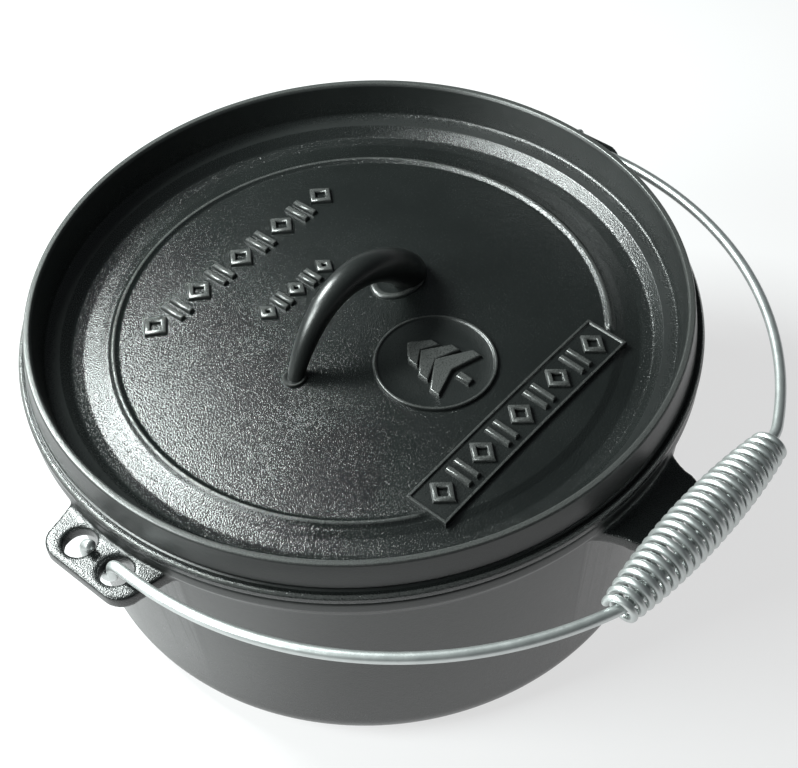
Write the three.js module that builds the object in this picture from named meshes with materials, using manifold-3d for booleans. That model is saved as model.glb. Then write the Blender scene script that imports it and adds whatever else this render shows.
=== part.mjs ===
// Cast iron dutch oven for cooking over coals: a pot with bail ears, a coal lid with a cast-in loop handle,
// and a wire bail that carries a sprung coil grip.
// Millimetres, +Z up. The origin is the centre of the pot's flat base, the ears stand at +X and -X, and the
// bail rests over the front (-Y) lug.

import * as THREE from "three";
import { mergeVertices } from "three/addons/utils/BufferGeometryUtils.js";
import Module from "manifold-3d";

// Pot
const POT_RIM_Z = 113.3;
const POT_RIM_R = 132.4;
const POT_WALL_TOP_R = 130;
const POT_WALL_FOOT_R = 123.4;
const POT_CORNER_R = 18;
const POT_MOUTH_R = 126.6;
const POT_WALL = 4;
const POT_FLOOR = 4.8;

// Ears for the bail (left and right) and the lug for lifting (front), cast on the pot
const EAR_TOP_Z = 108.2;
const EAR_THICK = 6;
const EAR_REACH = 149.6;
const EAR_HALF = 22.5;
const EAR_CORNER_R = 9;
const EAR_ROOT_HALF = 30;
const EAR_ROOT_R = 128.4;
const EAR_HOLE_R = 6.2;
const EAR_HOLE_SPACING = 19;
const EAR_HOLE_X = 139.7;
const LUG_REACH = 148.8;
const LUG_HALF = 19;

// Lid
const GAP = 0.3;
const LID_RIM_Z = 130;
const LID_RIM_R = 128;
const LID_RIM_WALL = 2.4;
const LID_FLANGE_R = 132.7;
const LID_FLANGE_Z = POT_RIM_Z + GAP;
const LID_STEP_Z = LID_RIM_Z - 12.2;
const LID_STEP_R = 129.6;
const LID_PLUG_R = POT_MOUTH_R - 0.9;
const LID_BEAD_R = 97.2;
const LID_BEAD_Z = LID_RIM_Z - 19.6;
const LID_BEAD_BAR_R = 2;
const LID_BEAD_START = -55;
const LID_BEAD_TURN = 290;
const LID_CROWN_Z = LID_RIM_Z - 16.4;
const LID_THICK = 4.3;

// Raised panels on the lid
const BADGE_R = 24;
const BADGE_Y = -38;
const PLATE_LENGTH = 110;
const PLATE_WIDTH = 18.4;
const PLATE_Y = -78.8;
const PANEL_RISE = 1.3;

// Lid handle, cast in by its two feet: a thin left leg and a short thick right leg
const HANDLE_FLOOR_Z = 111.2;
const HANDLE_LEFT = [-39.3, -1];
const HANDLE_RIGHT = [31, 2.5];
const HANDLE_LEFT_PULL = [-13.9, -2.4, 173.7];
const HANDLE_RIGHT_PULL = [29, -4.5, 121];
const HANDLE_LEFT_R = 3;
const HANDLE_MID_R = 6.2;
const HANDLE_RIGHT_R = 7.9;
const HANDLE_ROOT = 6;
const HANDLE_PAD_RIM = 2;
const HANDLE_PAD_RISE = 1.2;
const HANDLE_STEPS = 28;

// Bail
const WIRE_R = 2.1;
const BAIL_PIVOT_Z = EAR_TOP_Z - EAR_THICK / 2;
const HOOK_R = 7.1;
const SHANK_LIFT = EAR_THICK / 2 + WIRE_R + GAP;
const SHANK_LENGTH = 18.7;
const BAIL_BOW_R = 150.5;
const BAIL_BOW_TURN = 66;
const BAIL_KNEE_R = 20;
const BAIL_KNEE_TURN = 16;
const BAIL_REST = 2.3;
const LEFT_STUB = 1;
const RIGHT_STUB = 9;
const BAIL_STEPS = 150;

// Coil grip on the bail
const GRIP_WIRE_R = 1.4;
const GRIP_MID_R = 8.9;
const GRIP_END_R = 5.6;
const GRIP_LENGTH = 92;
const GRIP_TURNS = 22;
const GRIP_X = -3.8;
const GRIP_OFFSET = 3;
const GRIP_TILT = 1.6;

const LATHE_SEGMENTS = 72;

const wasm = await Module();
wasm.setup();

const degrees = THREE.MathUtils.degToRad;

/** Turns a closed three.js geometry into a manifold solid. */
function solid(geometry) {
  geometry.deleteAttribute("normal");
  geometry.deleteAttribute("uv");
  const merged = mergeVertices(geometry, 1e-4);
  return new wasm.Manifold(
    new wasm.Mesh({
      numProp: 3,
      vertProperties: merged.attributes.position.array,
      triVerts: new Uint32Array(merged.index.array),
    }),
  );
}

/** Turns a manifold solid back into a three.js geometry. */
function geometryOf(manifold) {
  const mesh = manifold.getMesh();
  const geometry = new THREE.BufferGeometry();
  geometry.setAttribute("position", new THREE.BufferAttribute(mesh.vertProperties, 3));
  geometry.setIndex(new THREE.BufferAttribute(mesh.triVerts, 1));
  geometry.computeVertexNormals();
  return geometry;
}

/** Turns a profile of [radius, height] corners about the Z axis. */
function turned(profile, segments = LATHE_SEGMENTS) {
  const points = profile.map(([radius, height]) => new THREE.Vector2(radius, height));
  return new THREE.LatheGeometry(points, segments).rotateX(Math.PI / 2);
}

/** Corners of an arc from one angle to another, in degrees, as [radius, height] pairs. */
function arcPoints(centreR, centreZ, radius, from, to, count) {
  return Array.from({ length: count + 1 }, (_, i) => {
    const angle = degrees(from + ((to - from) * i) / count);
    return [centreR + radius * Math.cos(angle), centreZ + radius * Math.sin(angle)];
  });
}

/** A regular polygon that stands in for a round section of the given radius. */
function roundSection(radius, sides) {
  const corners = Array.from({ length: sides }, (_, i) => {
    const angle = (2 * Math.PI * i) / sides;
    return new THREE.Vector2(radius * Math.cos(angle), radius * Math.sin(angle));
  });
  return new THREE.Shape(corners);
}

/** A round bar along a path. */
function barAlong(path, radius, sides, steps) {
  return new THREE.ExtrudeGeometry(roundSection(radius, sides), { extrudePath: path, steps, bevelEnabled: false });
}

/** An upright block with the given outline, from one height to another. */
function upright(shape, bottom, top) {
  const block = new THREE.ExtrudeGeometry(shape, { depth: top - bottom, bevelEnabled: false, curveSegments: 6 });
  return block.translate(0, 0, bottom);
}

/** An arc in space: a point that swings about a centre from one direction towards another. */
class ArcCurve extends THREE.Curve {
  constructor(centre, start, side, angle) {
    super();
    this.centre = centre;
    this.start = start;
    this.side = side;
    this.angle = angle;
  }

  getPoint(t, target = new THREE.Vector3()) {
    const turn = this.angle * t;
    return target
      .copy(this.centre)
      .addScaledVector(this.start, Math.cos(turn))
      .addScaledVector(this.side, Math.sin(turn));
  }
}

/** Draws a path by stretches, as a wire bender does: straight runs and bends of a stated radius. */
class WirePath {
  constructor(position, heading, up) {
    this.position = position.clone();
    this.heading = heading.clone();
    this.up = up.clone();
    this.path = new THREE.CurvePath();
  }

  straight(length) {
    const end = this.position.clone().addScaledVector(this.heading, length);
    this.path.add(new THREE.LineCurve3(this.position.clone(), end));
    this.position = end;
    return this;
  }

  /** Bends towards the side that `up` points to. A negative angle bends away from it. */
  bend(radius, angle) {
    const side = this.up.clone().multiplyScalar(Math.sign(angle));
    const centre = this.position.clone().addScaledVector(side, radius);
    const turn = degrees(Math.abs(angle));
    const start = side.clone().multiplyScalar(-radius);
    const along = this.heading.clone().multiplyScalar(radius);
    this.path.add(new ArcCurve(centre, start, along, turn));
    const axis = new THREE.Vector3().crossVectors(this.heading, side);
    this.position = centre.clone().add(start.clone().applyAxisAngle(axis, turn));
    this.heading.applyAxisAngle(axis, turn);
    this.up.applyAxisAngle(axis, turn);
    return this;
  }

  /** Makes the next bends turn towards another direction, at right angles to the heading. */
  face(up) {
    this.up = up.clone();
    return this;
  }
}

/** Thins or thickens a bar along its path: scale(t) multiplies its radius at each station. */
function tapered(bar, path, steps, scale) {
  const stations = path.getSpacedPoints(steps);
  const position = bar.attributes.position;
  const vertex = new THREE.Vector3();
  for (let i = 0; i < position.count; i += 1) {
    vertex.fromBufferAttribute(position, i);
    const distances = stations.map((station) => station.distanceTo(vertex));
    const nearest = distances.indexOf(Math.min(...distances));
    vertex.sub(stations[nearest]).multiplyScalar(scale(nearest / steps)).add(stations[nearest]);
    position.setXYZ(i, vertex.x, vertex.y, vertex.z);
  }
  return bar;
}

/** Plan of an ear that stands out to +Y, with flared roots that run into the pot's wall. */
function earPlan(half, reach) {
  const rootY = Math.sqrt(EAR_ROOT_R ** 2 - EAR_ROOT_HALF ** 2);
  const rootAngle = Math.acos(EAR_ROOT_HALF / EAR_ROOT_R);
  const shoulder = reach - EAR_CORNER_R;
  const cornerX = half - EAR_CORNER_R;
  const plan = new THREE.Shape();
  plan.moveTo(EAR_ROOT_HALF, rootY);
  plan.quadraticCurveTo(half + 1.5, rootY + 6, half, shoulder);
  plan.absarc(cornerX, shoulder, EAR_CORNER_R, 0, Math.PI / 2);
  plan.lineTo(-cornerX, reach);
  plan.absarc(-cornerX, shoulder, EAR_CORNER_R, Math.PI / 2, Math.PI);
  plan.quadraticCurveTo(-half - 1.5, rootY + 6, -EAR_ROOT_HALF, rootY);
  plan.absarc(0, 0, EAR_ROOT_R, Math.PI - rootAngle, rootAngle, true);
  return plan;
}

function potGeometry() {
  const footR = POT_WALL_FOOT_R - POT_CORNER_R;
  const innerCorner = POT_CORNER_R - 3;
  const innerFootR = POT_WALL_FOOT_R - POT_WALL;
  const profile = [
    [0, 0],
    ...arcPoints(footR, POT_CORNER_R, POT_CORNER_R, -90, 0, 7),
    [POT_WALL_TOP_R, POT_RIM_Z - 9],
    [POT_RIM_R, POT_RIM_Z - 5],
    [POT_RIM_R, POT_RIM_Z - 1],
    [POT_RIM_R - 1, POT_RIM_Z],
    [POT_MOUTH_R, POT_RIM_Z],
    [POT_WALL_TOP_R - POT_WALL, POT_RIM_Z - 14],
    ...arcPoints(innerFootR - innerCorner, POT_FLOOR + innerCorner, innerCorner, 0, -90, 6),
    [0, POT_FLOOR],
  ];
  let pot = solid(turned(profile));
  const plans = [
    [90, earPlan(EAR_HALF, EAR_REACH)],
    [180, earPlan(LUG_HALF, LUG_REACH)],
    [270, earPlan(EAR_HALF, EAR_REACH)],
  ];
  for (const [turn, plan] of plans) {
    const ear = upright(plan, EAR_TOP_Z - EAR_THICK, EAR_TOP_Z).rotateZ(degrees(turn));
    pot = pot.add(solid(ear));
  }
  for (const side of [-1, 1]) {
    for (const end of [-1, 1]) {
      const hole = new THREE.CylinderGeometry(EAR_HOLE_R, EAR_HOLE_R, 3 * EAR_THICK, 28).rotateX(Math.PI / 2);
      hole.translate(side * EAR_HOLE_X, (end * EAR_HOLE_SPACING) / 2, BAIL_PIVOT_Z);
      pot = pot.subtract(solid(hole));
    }
  }
  return geometryOf(pot);
}

/** Height of the lid's crowned top at a distance from its centre. */
function crownZ(radius) {
  return LID_CROWN_Z - (LID_CROWN_Z - LID_BEAD_Z) * (radius / LID_BEAD_R) ** 2;
}

function lidGeometry() {
  const crown = [90, 75, 60, 40, 20].map((radius) => [radius, crownZ(radius)]);
  const profile = [
    [0, LID_CROWN_Z - LID_THICK],
    [40, crownZ(40) - LID_THICK],
    [75, crownZ(75) - LID_THICK],
    [100, crownZ(100) - LID_THICK - 0.6],
    [118, LID_RIM_Z - 26.4],
    [LID_PLUG_R - 2, LID_RIM_Z - 26.4],
    [LID_PLUG_R, LID_RIM_Z - 24],
    [LID_PLUG_R, LID_FLANGE_Z],
    [LID_FLANGE_R, LID_FLANGE_Z],
    [LID_FLANGE_R - 0.4, LID_STEP_Z - 1.2],
    [LID_FLANGE_R - 1.6, LID_STEP_Z],
    [LID_STEP_R, LID_STEP_Z],
    [LID_RIM_R, LID_RIM_Z - 0.9],
    [LID_RIM_R - 0.7, LID_RIM_Z],
    [LID_RIM_R - LID_RIM_WALL, LID_RIM_Z],
    [LID_RIM_R - LID_RIM_WALL - 0.8, LID_RIM_Z - 1],
    [122.8, LID_RIM_Z - 15.4],
    [121.6, LID_RIM_Z - 16],
    [117.2, LID_RIM_Z - 16.9],
    [113.5, LID_RIM_Z - 21],
    [109, LID_RIM_Z - 21.6],
    [103, LID_RIM_Z - 20.6],
    [LID_BEAD_R, LID_BEAD_Z],
    ...crown,
    [0, LID_CROWN_Z],
  ];
  let lid = solid(turned(profile));
  const badge = new THREE.CylinderGeometry(BADGE_R - 0.8, BADGE_R, 4, 48).rotateX(Math.PI / 2);
  lid = lid.add(solid(badge.translate(0, BADGE_Y, crownZ(BADGE_Y) + PANEL_RISE - 2)));
  const plate = new THREE.BoxGeometry(PLATE_LENGTH, PLATE_WIDTH, 4);
  lid = lid.add(solid(plate.translate(0, PLATE_Y, crownZ(PLATE_Y) + PANEL_RISE - 2)));
  const bead = barAlong(beadPath(), LID_BEAD_BAR_R, 8, 96);
  lid = lid.add(solid(bead));
  const feet = [
    [HANDLE_LEFT, HANDLE_LEFT_R],
    [HANDLE_RIGHT, HANDLE_RIGHT_R],
  ];
  for (const [[footX, footY], footR] of feet) {
    const padR = footR + HANDLE_PAD_RIM;
    const pad = new THREE.CylinderGeometry(padR - 0.8, padR, 4, 32).rotateX(Math.PI / 2);
    lid = lid.add(solid(pad.translate(footX, footY, crownZ(footX) + HANDLE_PAD_RISE - 2)));
  }
  lid = lid.subtract(handleSolid(GAP));
  return geometryOf(lid);
}

/** Centre line of the raised bead round the crown, open at the front behind the plate. */
function beadPath() {
  const angle = degrees(LID_BEAD_START);
  const centre = new THREE.Vector3(0, 0, LID_BEAD_Z - 0.7);
  const start = new THREE.Vector3(Math.cos(angle), Math.sin(angle), 0).multiplyScalar(LID_BEAD_R);
  const side = new THREE.Vector3(-Math.sin(angle), Math.cos(angle), 0).multiplyScalar(LID_BEAD_R);
  return new ArcCurve(centre, start, side, degrees(LID_BEAD_TURN));
}

/** Centre line of the lid handle: a lopsided arch that peaks nearer its thin leg, with straight roots. */
function handlePath() {
  const left = new THREE.Vector3(...HANDLE_LEFT, HANDLE_FLOOR_Z);
  const leftPull = new THREE.Vector3(...HANDLE_LEFT_PULL);
  const rightPull = new THREE.Vector3(...HANDLE_RIGHT_PULL);
  const right = new THREE.Vector3(...HANDLE_RIGHT, HANDLE_FLOOR_Z);
  const leftRoot = leftPull.clone().sub(left).setLength(-HANDLE_ROOT).add(left);
  const rightRoot = rightPull.clone().sub(right).setLength(-HANDLE_ROOT).add(right);
  const path = new THREE.CurvePath();
  path.add(new THREE.LineCurve3(leftRoot, left));
  path.add(new THREE.CubicBezierCurve3(left, leftPull, rightPull, right));
  path.add(new THREE.LineCurve3(right, rightRoot));
  return path;
}

/** Radius of the handle along its path. */
function handleRadius(t) {
  const legs = HANDLE_LEFT_R * (1 - t) ** 2 + HANDLE_RIGHT_R * t ** 2;
  return legs + 2 * HANDLE_MID_R * t * (1 - t);
}

/** The handle, grown all round by a clearance and cut flat at the bottom of its sockets. */
function handleSolid(grow) {
  const path = handlePath();
  const bar = barAlong(path, HANDLE_MID_R, 16, HANDLE_STEPS);
  const shaped = tapered(bar, path, HANDLE_STEPS, (t) => (handleRadius(t) + grow) / HANDLE_MID_R);
  return solid(shaped).trimByPlane([0, 0, 1], HANDLE_FLOOR_Z - grow);
}

/** The bail's wire in its own frame: the pivot line is X, and the bow lies out to -Y. */
function bailPath() {
  const up = new THREE.Vector3(0, 0, 1);
  const inward = new THREE.Vector3(1, 0, 0);
  const kneeEnd = degrees(BAIL_BOW_TURN + BAIL_KNEE_TURN);
  const bowReach = BAIL_BOW_R * (1 - Math.cos(degrees(BAIL_BOW_TURN)));
  const kneeReach = BAIL_KNEE_R * (Math.cos(degrees(BAIL_BOW_TURN)) - Math.cos(kneeEnd));
  const middleR = (EAR_HOLE_X - bowReach - kneeReach) / Math.cos(kneeEnd);
  const middleTurn = 90 - BAIL_BOW_TURN - BAIL_KNEE_TURN;

  // The left hook starts above the web between the ear's holes, goes round it and out over the ear's edge.
  const hookTurn = 243;
  const startAngle = degrees(63);
  const start = new THREE.Vector3(-EAR_HOLE_X, HOOK_R * Math.cos(startAngle), HOOK_R * Math.sin(startAngle));
  const heading = new THREE.Vector3(0, Math.sin(startAngle), -Math.cos(startAngle));
  const towardsWeb = new THREE.Vector3(0, -Math.cos(startAngle), -Math.sin(startAngle));
  start.addScaledVector(heading, -LEFT_STUB);
  const wire = new WirePath(start, heading, towardsWeb);
  wire.straight(LEFT_STUB).bend(HOOK_R, hookTurn);
  wire.bend(SHANK_LIFT, -90).straight(SHANK_LENGTH - HOOK_R - SHANK_LIFT).face(inward);
  wire.bend(BAIL_BOW_R, BAIL_BOW_TURN).bend(BAIL_KNEE_R, BAIL_KNEE_TURN).bend(middleR, 2 * middleTurn);
  wire.bend(BAIL_KNEE_R, BAIL_KNEE_TURN).bend(BAIL_BOW_R, BAIL_BOW_TURN);
  wire.straight(SHANK_LENGTH - HOOK_R - SHANK_LIFT).face(up);
  wire.bend(SHANK_LIFT, -90).bend(HOOK_R, hookTurn).straight(RIGHT_STUB);
  return wire.path;
}

/** Distance from the pivot line to the middle of the bow, and to the coil's axis. */
function bowReach() {
  const kneeEnd = degrees(BAIL_BOW_TURN + BAIL_KNEE_TURN);
  const bow = degrees(BAIL_BOW_TURN);
  const lateral = EAR_HOLE_X - BAIL_BOW_R * (1 - Math.cos(bow)) - BAIL_KNEE_R * (Math.cos(bow) - Math.cos(kneeEnd));
  const middleR = lateral / Math.cos(kneeEnd);
  const knee = BAIL_KNEE_R * (Math.sin(kneeEnd) - Math.sin(bow));
  return SHANK_LENGTH + BAIL_BOW_R * Math.sin(bow) + knee + middleR * (1 - Math.sin(kneeEnd));
}

/** Centre line of the coil grip about its own X axis: wide in the middle and narrow at both ends. */
class CoilCurve extends THREE.Curve {
  getPoint(t, target = new THREE.Vector3()) {
    const along = 2 * t - 1;
    const radius = GRIP_END_R + (GRIP_MID_R - GRIP_END_R) * (1 - along ** 2) ** 0.8;
    const angle = 2 * Math.PI * GRIP_TURNS * t;
    return target.set((along * GRIP_LENGTH) / 2, radius * Math.cos(angle), radius * Math.sin(angle));
  }
}

function node(name, geometry, colour, roughness, metalness) {
  const material = new THREE.MeshStandardMaterial({ color: colour, roughness, metalness });
  const mesh = new THREE.Mesh(geometry, material);
  mesh.name = name;
  return mesh;
}

const dutchOven = new THREE.Group();
dutchOven.name = "dutch_oven";
dutchOven.add(node("pot", potGeometry(), 0x1b1d1d, 0.55, 0.4));
dutchOven.add(node("lid", lidGeometry(), 0x1b1d1d, 0.55, 0.4));
dutchOven.add(node("lid_handle", geometryOf(handleSolid(0)), 0x191b1b, 0.5, 0.4));

const bail = new THREE.Group();
bail.name = "bail";
bail.position.z = BAIL_PIVOT_Z;
bail.rotation.x = -degrees(BAIL_REST);
bail.add(node("bail_wire", barAlong(bailPath(), WIRE_R, 8, BAIL_STEPS), 0xb9bcbe, 0.3, 0.9));
const coil = barAlong(new CoilCurve(), GRIP_WIRE_R, 6, GRIP_TURNS * 16);
const grip = node("grip_coil", coil, 0xb9bcbe, 0.3, 0.9);
grip.position.set(GRIP_X, -bowReach() + GRIP_OFFSET, SHANK_LIFT);
grip.rotation.z = -degrees(GRIP_TILT);
bail.add(grip);
dutchOven.add(bail);

export default dutchOven;
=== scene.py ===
"""Cast iron dutch oven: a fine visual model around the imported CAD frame.

Lengths are in millimetres until a mesh is made.
"""

import math

import bmesh
import bpy
import numpy as np
from mathutils import Matrix, Vector


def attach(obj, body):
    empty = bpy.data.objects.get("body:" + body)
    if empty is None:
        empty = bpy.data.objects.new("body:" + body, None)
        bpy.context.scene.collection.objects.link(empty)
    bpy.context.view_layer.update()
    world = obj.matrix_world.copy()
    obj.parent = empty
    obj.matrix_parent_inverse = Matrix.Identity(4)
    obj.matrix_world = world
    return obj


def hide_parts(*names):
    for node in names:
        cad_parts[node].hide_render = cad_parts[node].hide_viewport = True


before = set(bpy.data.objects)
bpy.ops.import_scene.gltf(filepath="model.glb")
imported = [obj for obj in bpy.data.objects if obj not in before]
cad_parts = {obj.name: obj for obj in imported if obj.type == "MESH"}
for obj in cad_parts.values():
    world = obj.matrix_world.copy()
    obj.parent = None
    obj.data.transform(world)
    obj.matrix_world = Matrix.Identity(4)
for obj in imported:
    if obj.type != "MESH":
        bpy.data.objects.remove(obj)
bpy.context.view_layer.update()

MM = 0.001

# Pot
EAR_TOP_Z = 108.2
EAR_THICK = 6
EAR_CORNER_R = 9
EAR_ROOT_HALF = 27
EAR_ROOT_R = 128.4
EAR_HOLE_R = 6.2
EAR_HOLE_SPACING = 19
EAR_HOLE_X = 139.7
EAR_HALF = 22.5
EAR_REACH = 149.6
LUG_HALF = 19
LUG_REACH = 148.8
WALL_SLICE_TURN = 21
WALL_SLICE = [(127.2, 92), (128.94, 92), (129.88, 104.3), (132.28, 108.4), (132.28, 111.8), (128, 112)]
EAR_VOXEL = 0.75
EAR_SOFTENING = 12

# Lid
BEAD_R = 97.2
BEAD_Z = 110.4
CROWN_Z = 113.6
BADGE_Y = -38
PLATE_HALF_X = 55
PLATE_HALF_Y = 9.2
PLATE_Y = -78.8
PLATE_EDGE = [0, 0.02, 0.12, 0.3, 0.5, 1.1, 1.35, 1.6]
PLATE_EDGE_RISE = [-1.0, 0.6, 1.15, 1.45, 1.5, 1.45, 1.0, 0.75]
PLATE_FOOT_Z = 108.6
BORDER_RISE = 1.7
PLATE_BORDER_RISE = 2.3
TREE_RISE = 2.1

# Lid handle: a cubic curve from its thin left end to its thick right end
HANDLE_LEFT = (-39.3, -1, 111.2)
HANDLE_LEFT_PULL = (-13.9, -2.4, 173.7)
HANDLE_RIGHT_PULL = (29, -4.5, 121)
HANDLE_RIGHT = (31, 2.5, 111.2)
HANDLE_RADII = (3, 6.2, 7.9)
HANDLE_SINK = 0.1
PADS = ((-39.3, -1.3, 4.9, 4.4), (25.6, 2.2, 13.2, 9.9))
PAD_PROFILE = [
    (0, 0.5),
    (0.62, 0.5),
    (0.74, 0.75),
    (0.84, 1.15),
    (0.92, 1.15),
    (0.985, 0.7),
    (1.0, 0),
    (1.0, -1.2),
    (0, -1.2),
]

# Bail and grip
PIVOT_Z = EAR_TOP_Z - EAR_THICK / 2
WIRE_R = 2.1
HOOK_R = 7.1
SHANK_LIFT = EAR_THICK / 2 + WIRE_R + 0.3
SHANK_LENGTH = 18.7
BOW_R = 150.5
BOW_TURN = 66
KNEE_R = 20
KNEE_TURN = 16
BAIL_REST = 2.3
HOOK_LEAD = 63
HOOK_TURN = 243
GRIP_TURNS = 24
GRIP_HALF_LENGTH = 46
GRIP_END_R = 4.9
GRIP_BULGE = 4
GRIP_WIRE_R = 1.38
GRIP_SLANT = 1.6
GRIP_X = -3.8
GRIP_OFFSET = 3

# Finishes
IRON_DEEP = (0.0036, 0.0044, 0.0042, 1)
IRON_PALE = (0.0085, 0.0100, 0.0096, 1)
# Lighter bare-metal colour, used both for rubbing wear and for painted highlight on raised edges and rims
IRON_WEAR_AND_HIGHLIGHT = (0.16, 0.165, 0.16, 1)
ZINC_DULL = (0.42, 0.445, 0.44, 1)
ZINC_BRIGHT = (0.56, 0.58, 0.575, 1)
FLOOR_COLOUR = (0.22, 0.221, 0.223, 1)
FLOOR_GLOW = 0.68
LAMP_TINT = (0.93, 1, 0.98)
WORLD_COLOUR = (0.85, 0.96, 1, 1)
WORLD_STRENGTH = 0.09

# Camera, in metres, with its roll in degrees
CAMERA_PLACE = (-0.2875, -0.2875, 0.5382)
CAMERA_TARGET = (0.1176, 0.0917, -0.0981)
CAMERA_ROLL = -3.588
CAMERA_LENS = 67.68
SENSOR_WIDTH = 36



# ---------------------------------------------------------------- meshes


def piece(name, verts, faces, material, body, sharp=35):
    """A shaded mesh in millimetres that rides on a CAD body."""
    mesh = bpy.data.meshes.new(name)
    mesh.from_pydata((np.asarray(verts, float) * MM).tolist(), [], faces)
    mesh.validate()
    obj = bpy.data.objects.new(name, mesh)
    bpy.context.scene.collection.objects.link(obj)
    tidy_normals(obj, sharp)
    mesh.materials.append(material)
    if body:
        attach(obj, body)
    return obj


def tidy_normals(obj, sharp=35):
    """Faces out, smooth shading, and creases kept where faces meet at more than the stated angle."""
    mesh = obj.data
    bm = bmesh.new()
    bm.from_mesh(mesh)
    bmesh.ops.recalc_face_normals(bm, faces=bm.faces)
    bm.to_mesh(mesh)
    bm.free()
    mesh.shade_smooth()
    mesh.set_sharp_from_angle(angle=math.radians(sharp))


def rounded(corners, steps=5):
    """A profile with each (r, z, radius) corner rounded off."""
    points = np.array([c[:2] for c in corners], float)
    out = [points[0]]
    for i in range(1, len(points) - 1):
        to_last = points[i - 1] - points[i]
        to_next = points[i + 1] - points[i]
        room = 0.45 * min(np.linalg.norm(to_last), np.linalg.norm(to_next))
        to_last /= np.linalg.norm(to_last)
        to_next /= np.linalg.norm(to_next)
        half = math.acos(np.clip(to_last @ to_next, -1, 1)) / 2
        radius = corners[i][2]
        if radius <= 0 or half > math.radians(89.5):
            out.append(points[i])
            continue
        reach = min(radius / math.tan(half), room)
        radius = reach * math.tan(half)
        bisector = (to_last + to_next) / np.linalg.norm(to_last + to_next)
        centre = points[i] + bisector * radius / math.sin(half)
        start = points[i] + to_last * reach - centre
        end = points[i] + to_next * reach - centre
        for k in range(steps + 1):
            mix = start * (1 - k / steps) + end * k / steps
            out.append(centre + mix / np.linalg.norm(mix) * radius)
    out.append(points[-1])
    return np.array(out)


def lathe(profile, segments, lift=None):
    """Turns a profile that starts and ends on the axis. lift(x, y, z) may raise its points."""
    verts = []
    rings = []
    angles = 2 * np.pi * np.arange(segments) / segments
    for r, z in profile:
        if r < 1e-6:
            rings.append([len(verts)])
            verts.append((0, 0, z))
            continue
        rings.append(list(range(len(verts), len(verts) + segments)))
        verts.extend(zip(r * np.cos(angles), r * np.sin(angles), np.full(segments, z)))
    verts = np.array(verts, float)
    if lift:
        verts[:, 2] += lift(verts[:, 0], verts[:, 1], verts[:, 2])
    faces = []
    for low, high in zip(rings, rings[1:]):
        for i in range(segments):
            j = (i + 1) % segments
            if len(low) == 1:
                faces.append((low[0], high[i], high[j]))
            elif len(high) == 1:
                faces.append((low[i], low[j], high[0]))
            else:
                faces.append((low[i], low[j], high[j], high[i]))
    return verts, faces


def sweep(path, radii, sides, dome=4):
    """A round bar along a path, with domed ends."""
    path = np.asarray(path, float)
    radii = np.broadcast_to(np.asarray(radii, float), len(path)).copy()
    tangents = np.gradient(path, axis=0)
    tangents /= np.linalg.norm(tangents, axis=1)[:, None]
    side = np.cross(tangents[0], (0.3, 0.5, 0.81))
    side /= np.linalg.norm(side)
    sides_at = []
    for t in tangents:
        side = side - t * (side @ t)
        side /= np.linalg.norm(side)
        sides_at.append(side)
    centres, sizes, frames, tans = [], [], [], []
    for k in range(dome, 0, -1):
        a = math.pi / 2 * k / (dome + 0.35)
        centres.append(path[0] - tangents[0] * radii[0] * math.sin(a) * 0.5)
        sizes.append(radii[0] * math.cos(a))
        frames.append(sides_at[0])
        tans.append(tangents[0])
    centres.extend(path)
    sizes.extend(radii)
    frames.extend(sides_at)
    tans.extend(tangents)
    for k in range(1, dome + 1):
        a = math.pi / 2 * k / (dome + 0.35)
        centres.append(path[-1] + tangents[-1] * radii[-1] * math.sin(a) * 0.5)
        sizes.append(radii[-1] * math.cos(a))
        frames.append(sides_at[-1])
        tans.append(tangents[-1])
    angles = 2 * np.pi * np.arange(sides) / sides
    verts = []
    for c, r, f, t in zip(centres, sizes, frames, tans):
        b = np.cross(t, f)
        verts.extend(c + r * (np.cos(a) * f + np.sin(a) * b) for a in angles)
    faces = []
    count = len(centres)
    for i in range(count - 1):
        for k in range(sides):
            n = (k + 1) % sides
            faces.append((i * sides + k, i * sides + n, (i + 1) * sides + n, (i + 1) * sides + k))
    faces.append(tuple(range(sides)))
    faces.append(tuple(range((count - 1) * sides, count * sides)))
    return np.array(verts), faces


def crown_z(x, y):
    """Height of the lid's crown."""
    return CROWN_Z - (CROWN_Z - BEAD_Z) * (x * x + y * y) / BEAD_R**2


def smooth(x, low, high):
    """0 below low, 1 above high, and a soft step between."""
    t = np.clip((x - low) / (high - low), 0, 1)
    return t * t * (3 - 2 * t)


def apply_modifiers(obj):
    """Bakes an object's modifiers into its mesh."""
    graph = bpy.context.evaluated_depsgraph_get()
    mesh = bpy.data.meshes.new_from_object(obj.evaluated_get(graph))
    obj.modifiers.clear()
    obj.data = mesh


def scratch(name, verts, faces):
    """A loose mesh object for use in booleans."""
    mesh = bpy.data.meshes.new(name)
    mesh.from_pydata((np.asarray(verts, float) * MM).tolist(), [], faces)
    obj = bpy.data.objects.new(name, mesh)
    bpy.context.scene.collection.objects.link(obj)
    tidy_normals(obj)
    return obj


def boolean(obj, other, operation):
    """Joins other to obj or cuts it out, and removes other."""
    modifier = obj.modifiers.new("cut", "BOOLEAN")
    modifier.operation = operation
    modifier.solver = "EXACT"
    modifier.object = other
    apply_modifiers(obj)
    bpy.data.objects.remove(other)


def set_float(obj, name, values):
    """Stores one number at each vertex, for the materials to read."""
    attribute = obj.data.attributes.new(name, "FLOAT", "POINT")
    attribute.data.foreach_set("value", np.asarray(values, np.float32))


def points_of(obj):
    """Vertex positions in millimetres."""
    co = np.zeros(len(obj.data.vertices) * 3)
    obj.data.vertices.foreach_get("co", co)
    return co.reshape(-1, 3) / MM


# ---------------------------------------------------------------- materials


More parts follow.
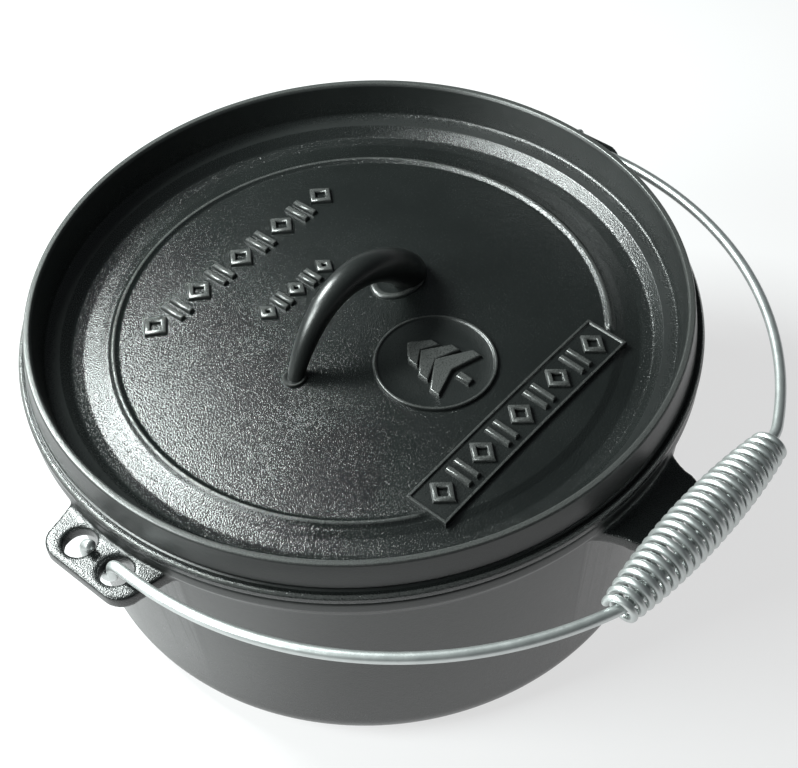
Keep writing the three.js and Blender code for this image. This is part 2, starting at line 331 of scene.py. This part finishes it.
class Nodes:
    """Short forms for building a node tree."""

    def __init__(self, name):
        self.material = bpy.data.materials.new(name)
        self.material.use_nodes = True
        self.tree = self.material.node_tree
        self.shader = self.tree.nodes["Principled BSDF"]

    def add(self, kind, inputs=None, **settings):
        node = self.tree.nodes.new(kind)
        for key, value in settings.items():
            setattr(node, key, value)
        for key, value in (inputs or {}).items():
            if isinstance(value, bpy.types.NodeSocket):
                self.tree.links.new(value, node.inputs[key])
            else:
                node.inputs[key].default_value = value
        return node

    def math(self, operation, a, b=0.0, clamp=False):
        return self.add("ShaderNodeMath", {0: a, 1: b}, operation=operation, use_clamp=clamp).outputs[0]

    def ramp(self, value, low, high):
        return self.add("ShaderNodeMapRange", {"Value": value, "To Min": low, "To Max": high}).outputs[0]

    def noise(self, vector, scale, detail=2.0, rough=0.5):
        node = self.add(
            "ShaderNodeTexNoise",
            {"Vector": vector, "Scale": scale, "Detail": detail, "Roughness": rough},
        )
        return node.outputs[0]

    def mix(self, factor, a, b):
        node = self.add("ShaderNodeMix", data_type="RGBA")
        self.link(factor, node.inputs[0])
        for value, socket in ((a, node.inputs[6]), (b, node.inputs[7])):
            if isinstance(value, bpy.types.NodeSocket):
                self.link(value, socket)
            else:
                socket.default_value = value
        return node.outputs[2]

    def link(self, out, socket):
        if isinstance(out, bpy.types.NodeSocket):
            self.tree.links.new(out, socket)
        else:
            socket.default_value = out

    def attribute(self, name):
        return self.add("ShaderNodeAttribute", attribute_name=name).outputs["Fac"]


def iron(name):
    """Seasoned cast iron.

    The attribute sand says how coarse the cast skin is; the second attribute marks where the skin turns to a
    lighter bare-metal colour, partly rubbing wear and partly painted highlight along raised edges and rims.
    """
    n = Nodes(name)
    where = n.add("ShaderNodeTexCoord").outputs["Object"]
    sand = n.attribute("sand")
    wear_and_highlight = n.attribute("wear_and_highlight")
    grit = n.noise(where, 2200, 1.0, 0.6)
    lumps = n.noise(where, 330, 2.0, 0.5)
    cloud = n.noise(where, 28, 3.0, 0.6)
    pits = n.add("ShaderNodeTexVoronoi", {"Vector": where, "Scale": 1500.0}).outputs["Distance"]
    grains = n.math("ADD", n.math("MULTIPLY", grit, 0.8), n.math("MULTIPLY", pits, 0.5))
    height = n.math("ADD", n.math("MULTIPLY", grains, sand), n.math("MULTIPLY", lumps, 0.2))
    bump = n.add("ShaderNodeBump", {"Strength": 1.0, "Distance": 0.00018, "Height": height})
    n.link(bump.outputs[0], n.shader.inputs["Normal"])
    skin = n.mix(cloud, IRON_DEEP, IRON_PALE)
    # Lighter bare-metal colour broken up by grit: partly rubbing wear, partly painted highlight on raised
    # edges and rims
    grit_wear_and_highlight = n.math("MULTIPLY", wear_and_highlight, n.ramp(grit, -0.6, 2.2), clamp=True)
    colour = n.mix(n.math("MULTIPLY", grit_wear_and_highlight, 0.8), skin, IRON_WEAR_AND_HIGHLIGHT)
    n.link(colour, n.shader.inputs["Base Color"])
    uneven = n.math("MULTIPLY", n.math("SUBTRACT", grit, 0.5), 0.2)
    rough = n.math("ADD", n.ramp(cloud, 0.33, 0.40), uneven)
    rough = n.math("SUBTRACT", rough, n.math("MULTIPLY", sand, 0.13))
    rough = n.math("SUBTRACT", rough, n.math("MULTIPLY", grit_wear_and_highlight, 0.1), clamp=True)
    n.link(rough, n.shader.inputs["Roughness"])
    n.link(n.math("MULTIPLY", grit_wear_and_highlight, 0.7), n.shader.inputs["Metallic"])
    n.shader.inputs["IOR"].default_value = 1.52
    return n.material


def zinc(name):
    """Zinc-plated drawn wire: dull and even, with fine clouding."""
    n = Nodes(name)
    where = n.add("ShaderNodeTexCoord").outputs["Object"]
    cloud = n.noise(where, 190, 3.0, 0.6)
    fine = n.noise(where, 1500, 2.0, 0.6)
    colour = n.mix(cloud, ZINC_DULL, ZINC_BRIGHT)
    n.link(colour, n.shader.inputs["Base Color"])
    n.link(n.ramp(cloud, 0.32, 0.46), n.shader.inputs["Roughness"])
    n.shader.inputs["Metallic"].default_value = 0.85
    bump = n.add("ShaderNodeBump", {"Strength": 1.0, "Distance": 0.00003, "Height": fine})
    n.link(bump.outputs[0], n.shader.inputs["Normal"])
    return n.material


IRON = iron("cast_iron_skin")
ZINC = zinc("zinc_wire_skin")


# ---------------------------------------------------------------- pot


def ear_outline(half, reach):
    """Plan of an ear that stands out to +Y, as a closed loop of points."""
    root_y = math.sqrt(EAR_ROOT_R**2 - EAR_ROOT_HALF**2)
    shoulder = reach - EAR_CORNER_R
    corner_x = half - EAR_CORNER_R
    right = []
    for t in np.linspace(0, 1, 14):
        a = np.array((EAR_ROOT_HALF, root_y))
        b = np.array((half + 1.5, root_y + 6))
        c = np.array((half, shoulder))
        right.append((1 - t) ** 2 * a + 2 * t * (1 - t) * b + t * t * c)
    for t in np.linspace(0, math.pi / 2, 12)[1:]:
        right.append(np.array((corner_x + EAR_CORNER_R * math.cos(t), shoulder + EAR_CORNER_R * math.sin(t))))
    left = [np.array((-x, y)) for x, y in right[::-1]]
    inner = []
    span = math.asin(EAR_ROOT_HALF / EAR_ROOT_R)
    for a in np.linspace(-span, span, 14)[1:-1]:
        inner.append(np.array((EAR_ROOT_R * math.sin(a), EAR_ROOT_R * math.cos(a))))
    return right + left + inner


def prism(outline, low, high):
    """An upright block with the given outline."""
    n = len(outline)
    verts = [(x, y, low) for x, y in outline] + [(x, y, high) for x, y in outline]
    faces = [tuple(range(n)), tuple(range(n, 2 * n))]
    faces += [(i, (i + 1) % n, n + (i + 1) % n, n + i) for i in range(n)]
    return verts, faces


def ear(half, reach, holes):
    """An ear with a slice of the pot's wall behind it, remeshed so that its edges and roots are rounded."""
    block = scratch("ear", *prism(ear_outline(half, reach), EAR_TOP_Z - EAR_THICK, EAR_TOP_Z))
    for end in (-1, 1) if holes else ():
        turns = np.linspace(0, 2 * math.pi, 49)[:-1]
        ring = [(EAR_HOLE_R * math.cos(a), EAR_HOLE_R * math.sin(a)) for a in turns]
        ring = [(x + end * EAR_HOLE_SPACING / 2, y + EAR_HOLE_X) for x, y in ring]
        hole = scratch("hole", *prism(ring, EAR_TOP_Z - 3 * EAR_THICK, EAR_TOP_Z + 2 * EAR_THICK))
        boolean(block, hole, "DIFFERENCE")
    angles = np.radians(np.linspace(-WALL_SLICE_TURN, WALL_SLICE_TURN, 2 * WALL_SLICE_TURN + 1))
    verts = [(r * math.sin(a), r * math.cos(a), z) for a in angles for r, z in WALL_SLICE]
    k = len(WALL_SLICE)
    faces = [tuple(range(k)), tuple(range(len(verts) - k, len(verts)))]
    for i in range(len(angles) - 1):
        low, high = i * k, (i + 1) * k
        faces += [(low + j, low + (j + 1) % k, high + (j + 1) % k, high + j) for j in range(k)]
    boolean(block, scratch("wall", verts, faces), "UNION")
    remesh = block.modifiers.new("remesh", "REMESH")
    remesh.mode = "VOXEL"
    remesh.voxel_size = EAR_VOXEL * MM
    soften = block.modifiers.new("soften", "SMOOTH")
    soften.factor = 0.5
    soften.iterations = EAR_SOFTENING
    apply_modifiers(block)
    return block


def pot():
    corner = [(105.4 + 18 * math.sin(a), 18 - 18 * math.cos(a)) for a in np.radians(np.linspace(0, 90, 16))]
    inner = [(104.4 + 15 * math.cos(a), 19.8 - 15 * math.sin(a)) for a in np.radians(np.linspace(0, 90, 14))]
    profile = [(0, 0), (60, 0)] + corner
    profile += list(
        rounded(
            [
                (*corner[-1], 0),
                (130, 104.3, 6),
                (132.4, 108.3, 3),
                (132.1, 113.3, 1.7),
                (126.6, 113.3, 1.5),
                (126, 99.3, 5),
                (*inner[0], 0),
            ]
        )
    )[1:-1]
    profile += inner + [(60, 4.8), (0, 4.8)]
    verts, faces = lathe(profile, 240)
    body = piece("pot_casting", verts, faces, IRON, None)
    ears = (
        (90, EAR_HALF, EAR_REACH, True),
        (180, LUG_HALF, LUG_REACH, False),
        (270, EAR_HALF, EAR_REACH, True),
    )
    for turn, half, reach, holes in ears:
        part = ear(half, reach, holes)
        part.data.transform(Matrix.Rotation(math.radians(turn), 4, "Z"))
        boolean(body, part, "UNION")
    tidy_normals(body, 50)
    body.data.materials.clear()
    body.data.materials.append(IRON)
    p = points_of(body)
    r = np.hypot(p[:, 0], p[:, 1])
    inside = smooth(128.5 - r, 0, 2) * smooth(p[:, 2], 3, 4)
    set_float(body, "sand", 0.22 + 0.45 * smooth(r, 131.5, 134) + 0.2 * inside)
    # Painted highlight together with rubbing wear: the lighter bare-metal colour goes along the rim's top
    # outer edge
    set_float(body, "wear_and_highlight", 0.25 * smooth(p[:, 2], 112.6, 113.2) * smooth(r, 130.4, 131.8))
    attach(body, "pot")
    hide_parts("pot")


# ---------------------------------------------------------------- lid


def bead_mask(x, y):
    """1 where the raised bead runs, round the back of the crown, and 0 at the open front."""
    azimuth = np.degrees(np.arctan2(y, x))
    from_back = np.abs((azimuth - 90 + 180) % 360 - 180)
    return 1 - smooth(from_back, 143.2, 145.4)


def lid_lift(x, y, z):
    r = np.hypot(x, y)
    d = np.clip(np.abs(r - BEAD_R) / 2.5, 0, 1)
    bead = 1.35 * (np.cos(math.pi * d) + 1) / 2
    top = smooth(z, 109.4, 109.9) * (r < 101)
    return bead * bead_mask(x, y) * top


def lid():
    outer = rounded(
        [
            (118, 103.6, 0),
            (123.7, 103.6, 1.5),
            (125.7, 106, 1.5),
            (125.7, 113.6, 0.6),
            (132.7, 113.6, 1.4),
            (132.6, 116.3, 0.5),
            (131.7, 117.7, 0.9),
            (129.9, 117.5, 0.3),
            (129.2, 118.1, 0.35),
            (129.55, 119.3, 0.6),
            (128.05, 129.2, 1),
            (127.6, 130, 0.5),
            (125.7, 130, 0.6),
            (124.9, 128.6, 1),
            (122.9, 114.9, 1.6),
            (117.4, 113.2, 1.3),
            (113.9, 109.2, 2.2),
            (109, 108.4, 4),
            (103, 109.1, 4),
            (100.3, 110.1, 1),
        ]
    )
    crown = np.concatenate([np.arange(99.9, 94.4, -0.35), np.linspace(94, 80, 8), np.linspace(77, 2, 26)])
    profile = [(0, 109.3), (40, 108.8), (75, 107.4), (100, 105.1)]
    profile += [tuple(p) for p in outer]
    profile += [(r, crown_z(r, 0)) for r in crown] + [(0, CROWN_Z)]
    verts, faces = lathe(profile, 320, lid_lift)
    body = piece("lid_casting", verts, faces, IRON, "lid", 60)
    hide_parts("lid")
    p = verts
    r = np.hypot(p[:, 0], p[:, 1])
    top = p[:, 2] > 108
    crown_part = smooth(118 - r, 0, 1.5) * top
    tray = smooth(r, 118, 119) * smooth(124 - r, 0, 1) * top
    flange = smooth(r, 129.8, 130.6) * smooth(p[:, 2], 113.8, 114.5)
    set_float(body, "sand", 0.25 + 0.75 * crown_part + 0.45 * tray + 0.75 * flange)
    # Rim top, flange top edge and bead top get the lighter bare-metal colour: partly rubbing wear, partly
    # painted highlight along these edges
    rim = smooth(p[:, 2], 129.4, 129.9)
    parting_wear_and_highlight = smooth(r, 131.2, 131.7) * smooth(p[:, 2], 116.4, 117) * 0.7
    bead = smooth(lid_lift(p[:, 0], p[:, 1], p[:, 2] * 0 + 112), 1.0, 1.3) * 0.35
    set_float(body, "wear_and_highlight", np.clip(rim * 0.45 + parting_wear_and_highlight + bead, 0, 1))


def offset(pts, shift):
    """A closed loop moved inwards by a distance, with mitred corners. The loop runs anticlockwise."""
    last = pts - np.roll(pts, 1, axis=0)
    after = np.roll(pts, -1, axis=0) - pts
    last /= np.linalg.norm(last, axis=1)[:, None]
    after /= np.linalg.norm(after, axis=1)[:, None]
    n1 = np.stack([-last[:, 1], last[:, 0]], 1)
    n2 = np.stack([-after[:, 1], after[:, 0]], 1)
    mitre = n1 + n2
    mitre /= np.maximum((mitre * n1).sum(1), 0.5)[:, None]
    return pts + mitre * shift


def raised(outline, height, stroke=None):
    """A low cast boss with sloping sides, laid on the crown. With a stroke it is a hollow loop that wide."""
    pts = np.array(outline, float)
    if np.sum(pts[:, 0] * np.roll(pts[:, 1], -1) - np.roll(pts[:, 0], -1) * pts[:, 1]) < 0:
        pts = pts[::-1]
    levels = [(-0.4, -0.8), (-0.2, 0.05), (0.05, height * 0.5), (0.3, height * 0.88)]
    levels += [(0.55, height), (0.95, height)]
    if stroke:
        levels = levels[:-1] + [(stroke - d, h) for d, h in levels[-2::-1]]
    verts = []
    for shift, level in levels:
        verts += [(x, y, level + crown_z(x, y)) for x, y in offset(pts, shift)]
    k = len(pts)
    rows = len(levels)
    joins = [(i, i + 1) for i in range(rows - 1)] + ([(rows - 1, 0)] if stroke else [])
    faces = []
    for i, n in joins:
        faces += [(i * k + j, i * k + (j + 1) % k, n * k + (j + 1) % k, n * k + j) for j in range(k)]
    if not stroke:
        faces += [tuple(range(k)), tuple(range(len(verts) - k, len(verts)))]
    return verts, faces


def gather(parts):
    """Several (verts, faces) as one."""
    verts, faces = [], []
    for v, f in parts:
        base = len(verts)
        verts += [tuple(p) for p in v]
        faces += [tuple(i + base for i in face) for face in f]
    return verts, faces


def lozenge(x, y, w, h):
    return [(x - w / 2, y), (x, y - h / 2), (x + w / 2, y), (x, y + h / 2)]


def bar(x, y, w, h):
    return [(x - w / 2, y - h / 2), (x + w / 2, y - h / 2), (x + w / 2, y + h / 2), (x - w / 2, y + h / 2)]


def chevron(x, y, w, h, t):
    return [
        (x - w / 2, y - h / 2),
        (x, y - h / 2 + t * 1.6),
        (x + w / 2, y - h / 2),
        (x + w / 2, y - h / 2 + t * 1.8),
        (x, y + h / 2),
        (x - w / 2, y - h / 2 + t * 1.8),
    ]


def motif_row(x0, x1, y, height, count, rise):
    """A row of alternating lozenges and upright bars, a plain cast border."""
    parts = []
    step = (x1 - x0) / count
    for i in range(count):
        x = x0 + step * (i + 0.5)
        if i % 2 == 0:
            parts.append(raised(lozenge(x, y, step * 0.98, height), rise, 2.4))
        else:
            for side in (-1, 1):
                parts.append(raised(bar(x + side * step * 0.2, y, 2.6, height * 0.9), rise))
    return parts


def relief(name, parts, rise):
    """Cast bosses as one piece, with a lighter bare-metal colour along their top edges: partly rubbing wear,
    partly painted highlight.
    """
    verts, faces = gather(parts)
    obj = piece(name, verts, faces, IRON, "lid", 60)
    h = np.array([z - crown_z(x, y) for x, y, z in verts])
    set_float(obj, "sand", np.full(len(verts), 0.4))
    set_float(obj, "wear_and_highlight", 0.45 * smooth(h, rise * 0.6, rise * 0.95))


def plate():
    """The long raised plate with a narrow frame round its edge, as a fine height field on the crown."""

    def stations(half):
        inner = np.linspace(-half + 2.2, half - 2.2, max(4, int(half / 1.2)))
        return np.concatenate([[-half + e for e in PLATE_EDGE], inner, [half - e for e in PLATE_EDGE[::-1]]])

    xs, ys = stations(PLATE_HALF_X), stations(PLATE_HALF_Y)
    verts, faces = [], []
    for y in ys:
        for x in xs:
            d = min(PLATE_HALF_X - abs(x), PLATE_HALF_Y - abs(y))
            h = np.interp(d, PLATE_EDGE, PLATE_EDGE_RISE)
            verts.append((x, y + PLATE_Y, h + crown_z(x, y + PLATE_Y)))
    nx, ny = len(xs), len(ys)
    for j in range(ny - 1):
        for i in range(nx - 1):
            a = j * nx + i
            faces.append((a, a + 1, a + nx + 1, a + nx))
    base = len(verts)
    loop = list(range(nx)) + [j * nx + nx - 1 for j in range(1, ny)]
    loop += [(ny - 1) * nx + i for i in range(nx - 2, -1, -1)] + [j * nx for j in range(ny - 2, 0, -1)]
    for i in loop:
        x, y, _ = verts[i]
        verts.append((x, y, PLATE_FOOT_Z))
    k = len(loop)
    for i in range(k):
        faces.append((loop[i], loop[(i + 1) % k], base + (i + 1) % k, base + i))
    faces.append(tuple(range(base, base + k)))
    obj = piece("lid_plate", verts, faces, IRON, "lid", 40)
    h = np.array([v[2] for v in verts]) - np.array([crown_z(v[0], v[1]) for v in verts])
    set_float(obj, "sand", np.full(len(verts), 0.5))
    # Painted highlight together with rubbing wear: lighter bare-metal colour along the top of the plate's
    # frame
    set_float(obj, "wear_and_highlight", 0.3 * smooth(h, 1.2, 1.45))


def badge():
    """The round badge: a low disc with a thin raised rim."""
    profile = [(0, 0.55), (8, 0.55), (16, 0.55), (22.0, 0.55), (22.35, 0.7), (22.6, 1.1), (22.9, 1.28)]
    profile += [(23.4, 1.28), (23.7, 1.1), (23.85, 0.6), (24, -0.2), (24, -1.2), (0, -1.2)]
    verts, faces = lathe(profile, 128)
    verts[:, 1] += BADGE_Y
    h = verts[:, 2].copy()
    verts[:, 2] += crown_z(verts[:, 0], verts[:, 1])
    obj = piece("lid_badge", verts, faces, IRON, "lid", 50)
    set_float(obj, "sand", np.full(len(verts), 0.4))
    # Painted highlight together with rubbing wear: lighter bare-metal colour along the badge's raised rim
    set_float(obj, "wear_and_highlight", 0.3 * smooth(h, 1.1, 1.25))


def badge_motif():
    """A plain pine tree in three tiers."""
    parts = []
    for y, w, h in ((-29.5, 14, 11), (-36.5, 20, 12), (-44, 26, 13)):
        parts.append(raised(chevron(0, y, w, h, 2.6), TREE_RISE))
    parts.append(raised(bar(0, -52.2, 3.6, 6.5), TREE_RISE))
    return parts


# ---------------------------------------------------------------- lid handle


def handle_path(steps=90):
    left, left_pull, right_pull, right = (
        np.array(p) for p in (HANDLE_LEFT, HANDLE_LEFT_PULL, HANDLE_RIGHT_PULL, HANDLE_RIGHT)
    )
    t = np.linspace(0, 1, steps)[:, None]
    first = (1 - t) ** 3 * left + 3 * (1 - t) ** 2 * t * left_pull
    return first + 3 * (1 - t) * t * t * right_pull + t**3 * right


def handle():
    path = handle_path() - (0, 0, HANDLE_SINK)
    along = np.concatenate([[0], np.cumsum(np.linalg.norm(np.diff(path, axis=0), axis=1))])
    t = along / along[-1]
    thin, middle, thick = HANDLE_RADII
    radii = thin * (1 - t) ** 2 + 2 * middle * t * (1 - t) + thick * t**2
    verts, faces = sweep(path, radii, 32, 3)
    obj = piece("handle_casting", verts, faces, IRON, "lid", 60)
    set_float(obj, "sand", np.full(len(verts), 0.16))
    set_float(obj, "wear_and_highlight", np.full(len(verts), 0.03))
    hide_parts("lid_handle")
    parts = []
    for x, y, rx, ry in PADS:
        v, f = lathe(PAD_PROFILE, 72)
        v[:, 0] = v[:, 0] * rx + x
        v[:, 1] = v[:, 1] * ry + y
        v[:, 2] += crown_z(v[:, 0], v[:, 1])
        parts.append((v, f))
    verts, faces = gather(parts)
    pads = piece("handle_pads", verts, faces, IRON, "lid", 50)
    h = np.array([v[2] - crown_z(v[0], v[1]) for v in verts])
    set_float(pads, "sand", np.full(len(verts), 0.35))
    # Painted highlight together with rubbing wear: lighter bare-metal colour along the pads' raised lips
    set_float(pads, "wear_and_highlight", 0.35 * smooth(h, 0.9, 1.12))


# ---------------------------------------------------------------- bail


class Wire:
    """Draws a wire by straight runs and bends, as a wire bender does."""

    def __init__(self, position, heading, up):
        self.position = np.array(position, float)
        self.heading = np.array(heading, float)
        self.up = np.array(up, float)
        self.points = [self.position.copy()]

    def straight(self, length):
        steps = max(2, int(length / 3))
        for k in range(1, steps + 1):
            self.points.append(self.position + self.heading * length * k / steps)
        self.position = self.points[-1].copy()
        return self

    def bend(self, radius, degrees):
        side = self.up * math.copysign(1, degrees)
        centre = self.position + side * radius
        turn = math.radians(abs(degrees))
        steps = max(8, int(turn * radius / 2.2))
        for k in range(1, steps + 1):
            a = turn * k / steps
            self.points.append(centre - side * radius * math.cos(a) + self.heading * radius * math.sin(a))
        axis = Vector(np.cross(self.heading, side))
        spin = np.array(Matrix.Rotation(turn, 3, axis))
        self.position = self.points[-1].copy()
        self.heading = spin @ self.heading
        self.up = spin @ self.up
        return self

    def face(self, up):
        self.up = np.array(up, float)
        return self


def middle_radius():
    bow, knee = math.radians(BOW_TURN), math.radians(BOW_TURN + KNEE_TURN)
    lateral = EAR_HOLE_X - BOW_R * (1 - math.cos(bow)) - KNEE_R * (math.cos(bow) - math.cos(knee))
    return lateral / math.cos(knee)


def bow_reach():
    bow, knee = math.radians(BOW_TURN), math.radians(BOW_TURN + KNEE_TURN)
    across = KNEE_R * (math.sin(knee) - math.sin(bow))
    return SHANK_LENGTH + BOW_R * math.sin(bow) + across + middle_radius() * (1 - math.sin(knee))


def lay_down(points):
    """From the bail's own frame to its place at rest."""
    spin = np.array(Matrix.Rotation(-math.radians(BAIL_REST), 3, "X"))
    return np.asarray(points) @ spin.T + np.array((0, 0, PIVOT_Z))


def bail():
    a = math.radians(HOOK_LEAD)
    heading = np.array((0, math.sin(a), -math.cos(a)))
    start = np.array((-EAR_HOLE_X, HOOK_R * math.cos(a), HOOK_R * math.sin(a))) - heading * 1
    run = SHANK_LENGTH - HOOK_R - SHANK_LIFT
    wire = Wire(start, heading, (0, -math.cos(a), -math.sin(a)))
    wire.straight(1).bend(HOOK_R, HOOK_TURN).bend(SHANK_LIFT, -90).straight(run).face((1, 0, 0))
    wire.bend(BOW_R, BOW_TURN).bend(KNEE_R, KNEE_TURN).bend(middle_radius(), 2 * (90 - BOW_TURN - KNEE_TURN))
    wire.bend(KNEE_R, KNEE_TURN).bend(BOW_R, BOW_TURN).straight(run).face((0, 0, 1))
    wire.bend(SHANK_LIFT, -90).bend(HOOK_R, HOOK_TURN).straight(9)
    verts, faces = sweep(lay_down(wire.points), WIRE_R, 20)
    obj = piece("bail_drawn_wire", verts, faces, ZINC, "bail", 50)
    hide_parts("bail_wire")


def grip():
    t = np.linspace(0, 1, GRIP_TURNS * 36)
    along = 2 * t - 1
    radius = GRIP_END_R + GRIP_BULGE * (1 - along**2) ** 0.9
    angle = 2 * np.pi * GRIP_TURNS * t
    coil = np.stack([along * GRIP_HALF_LENGTH, radius * np.cos(angle), radius * np.sin(angle)], 1)
    spin = np.array(Matrix.Rotation(-math.radians(GRIP_SLANT), 3, "Z"))
    coil = coil @ spin.T + np.array((GRIP_X, -bow_reach() + GRIP_OFFSET, SHANK_LIFT))
    verts, faces = sweep(lay_down(coil), GRIP_WIRE_R, 14)
    obj = piece("grip_spring", verts, faces, ZINC, "grip", 50)
    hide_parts("grip_coil")


pot()
lid()
plate()
badge()
relief("lid_border_back", motif_row(-59, 49.5, 61, 13, 9, BORDER_RISE), BORDER_RISE)
relief("lid_border_middle", motif_row(-25, 16, 30, 10, 5, BORDER_RISE), BORDER_RISE)
relief("lid_plate_border", motif_row(-51, 51, PLATE_Y, 12.5, 9, PLATE_BORDER_RISE), PLATE_BORDER_RISE)
relief("lid_badge_tree", badge_motif(), TREE_RISE)
handle()
bail()
grip()


# ---------------------------------------------------------------- stage


def stage_plane():
    mesh = bpy.data.meshes.new("floor")
    mesh.from_pydata([(-9, -9, 0), (9, -9, 0), (9, 9, 0), (-9, 9, 0)], [], [(0, 1, 2, 3)])
    obj = bpy.data.objects.new("floor", mesh)
    bpy.context.scene.collection.objects.link(obj)
    n = Nodes("floor_paint")
    n.shader.inputs["Base Color"].default_value = FLOOR_COLOUR
    n.shader.inputs["Roughness"].default_value = 0.9
    n.shader.inputs["Emission Color"].default_value = (1, 1, 1, 1)
    n.shader.inputs["Emission Strength"].default_value = FLOOR_GLOW
    mesh.materials.append(n.material)


def soft_light(name, place, target, width, height, power):
    data = bpy.data.lights.new(name, "AREA")
    data.shape = "RECTANGLE"
    data.size = width
    data.size_y = height
    data.energy = power
    data.color = LAMP_TINT
    obj = bpy.data.objects.new(name, data)
    obj.location = place
    obj.visible_camera = False
    obj.rotation_euler = (Vector(target) - Vector(place)).to_track_quat("-Z", "Y").to_euler()
    bpy.context.scene.collection.objects.link(obj)


def camera():
    data = bpy.data.cameras.new("camera")
    data.sensor_width = SENSOR_WIDTH
    data.lens = CAMERA_LENS
    obj = bpy.data.objects.new("camera", data)
    place = Vector(CAMERA_PLACE)
    target = Vector(CAMERA_TARGET)
    look = (target - place).to_track_quat("-Z", "Y").to_matrix().to_4x4()
    obj.matrix_world = Matrix.Translation(place) @ look @ Matrix.Rotation(math.radians(CAMERA_ROLL), 4, "Z")
    bpy.context.scene.collection.objects.link(obj)
    bpy.context.scene.camera = obj


stage_plane()
soft_light("key", (-0.66, 0.33, 0.56), (-0.03, 0, 0.1), 0.4, 0.3, 13)
soft_light("sheen", (-0.11, 0.36, 0.5), (-0.05, 0, 0.1), 0.22, 0.18, 9.6)
camera()
world = bpy.data.worlds.new("studio")
world.use_nodes = True
world.node_tree.nodes["Background"].inputs["Color"].default_value = WORLD_COLOUR
world.node_tree.nodes["Background"].inputs["Strength"].default_value = WORLD_STRENGTH
bpy.context.scene.world = world
bpy.context.scene.view_settings.view_transform = "Standard"
